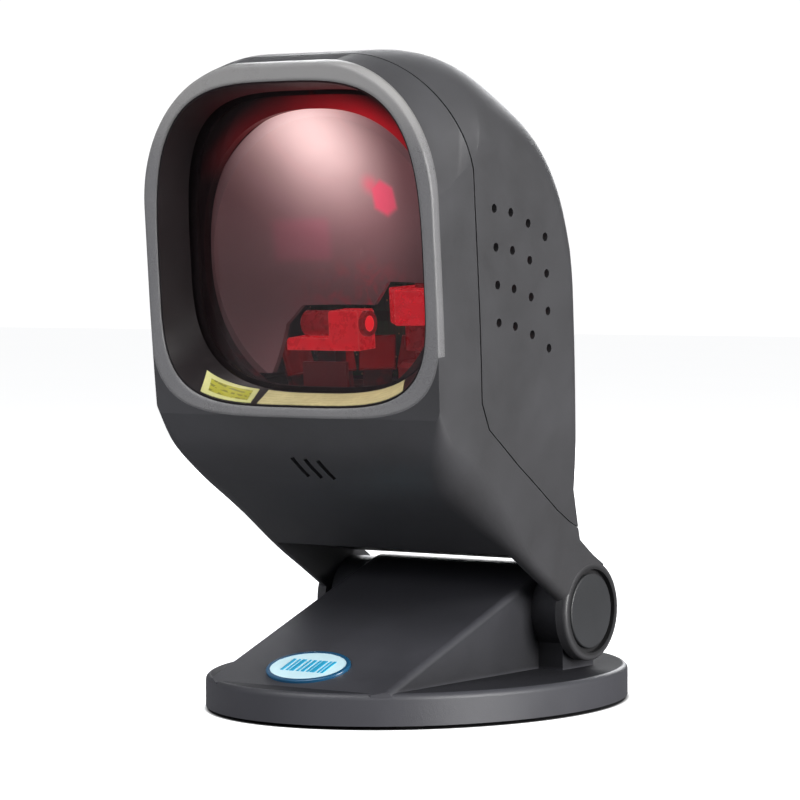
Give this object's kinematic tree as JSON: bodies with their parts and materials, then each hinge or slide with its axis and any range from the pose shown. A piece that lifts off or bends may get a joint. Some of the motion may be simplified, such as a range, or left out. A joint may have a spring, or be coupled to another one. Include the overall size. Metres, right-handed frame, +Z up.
{
  "type": "presentation barcode scanner",
  "caption": "Hands-free countertop laser barcode scanner: upright hooded head with a tall scan window, tilting on a friction hinge above a ramped oval weighted base",
  "frame": {"origin": "centre of the base oval on the counter surface, underneath the rubber feet", "axes": "+Z up, -Y towards the person presenting goods (the window side), +X to that person's right; the tilt hinge runs along X"},
  "size_m": [0.09, 0.1126, 0.1485],
  "materials": {
    "body_charcoal": "fine spark-textured moulding",
    "base_black": "plain moulded",
    "rim_grey": "satin, edge rounded",
    "hood_black": "satin black",
    "glass_clear": "polished, faint red tint",
    "gasket_foam": "closed-cell foam",
    "chassis_black": "matt black moulding",
    "label_yellow": "printed film",
    "label_olive": "printed film",
    "strip_pale": "printed film",
    "mirror_coat": "vacuum coated",
    "polygon_metal": "diamond turned facets",
    "brass_laser": "turned",
    "clamp_alu": "die cast",
    "lens_glass": "polished",
    "board_green": "solder mask",
    "chip_black": "epoxy package",
    "filter_red": "dyed filter",
    "motor_steel": "plated",
    "can_tin": "tin plate",
    "cap_sleeve": "sleeved",
    "header_white": "moulded",
    "ribbon_grey": "flat lead",
    "jack_black": "moulded",
    "contact_gold": "gold plated",
    "beeper_black": "moulded",
    "led_green": "tinted lens",
    "label_silver": "blank matt film",
    "screw_steel": "zinc plated",
    "spring_steel": "oiled spring steel",
    "acetal": "moulded acetal",
    "friction_fibre": "pressed friction fibre",
    "ballast_steel": "phosphated plate",
    "foot_rubber": "moulded rubber",
    "badge_blue": "gloss moulded",
    "badge_white": "gloss film",
    "badge_cyan": "gloss print"
  },
  "bodies": {
    "base": {"base_cover": "body_charcoal", "base_plate": "base_black", "ballast_plate": "ballast_steel", "rubber_feet": "foot_rubber", "base_screws": "screw_steel", "badge_rim": "badge_blue", "badge_face": "badge_white", "badge_bars": "badge_cyan", "hinge_bushes": "acetal", "friction_washers": "friction_fibre"},
    "head": {"front_shell": "body_charcoal", "rear_shell": "body_charcoal", "hinge_cap_left": "body_charcoal", "hinge_cap_right": "body_charcoal", "bezel_rim": "rim_grey", "window_hood": "hood_black", "scan_window": "glass_clear", "window_gasket": "gasket_foam", "optical_chassis": "chassis_black", "label_border": "label_yellow", "label_panel": "label_olive", "info_strip": "strip_pale", "collector_mirror": "mirror_coat", "pattern_mirror_1": "mirror_coat", "pattern_mirror_2": "mirror_coat", "pattern_mirror_3": "mirror_coat", "pattern_mirror_4": "mirror_coat", "pattern_mirror_5": "mirror_coat", "laser_module": "brass_laser", "laser_clamp": "clamp_alu", "laser_lens": "lens_glass", "sensor_board": "board_green", "motor_board": "board_green", "decode_board": "board_green", "interface_board": "board_green", "photodiode": "chip_black", "decoder_chip": "chip_black", "memory_chips": "chip_black", "sensor_filter": "filter_red", "motor_stator": "motor_steel", "shield_can": "can_tin", "capacitors": "cap_sleeve", "board_headers": "header_white", "ribbon_lead": "ribbon_grey", "interface_jack": "jack_black", "jack_contacts": "contact_gold", "beeper": "beeper_black", "power_led": "led_green", "rating_label": "label_silver", "shell_screws": "screw_steel", "chassis_screws": "screw_steel", "board_screws": "screw_steel", "hinge_pins": "screw_steel", "hinge_nuts": "screw_steel", "spring_washers": "spring_steel"},
    "spinner": {"polygon_mirror": "polygon_metal", "rotor_hub": "motor_steel"}
  },
  "joints": [
    {"name": "head_tilt", "type": "hinge", "parent": "base", "child": "head", "pos_m": [0, 0.019, 0.0213], "axis": [1, 0, 0], "range_deg": [-25, 20]},
    {"name": "polygon_spin", "type": "hinge", "parent": "head", "child": "spinner", "pos_m": [0.0185, -0.02234, 0.08473], "axis": [0, -0.0819, 0.9966], "continuous": true}
  ]
}
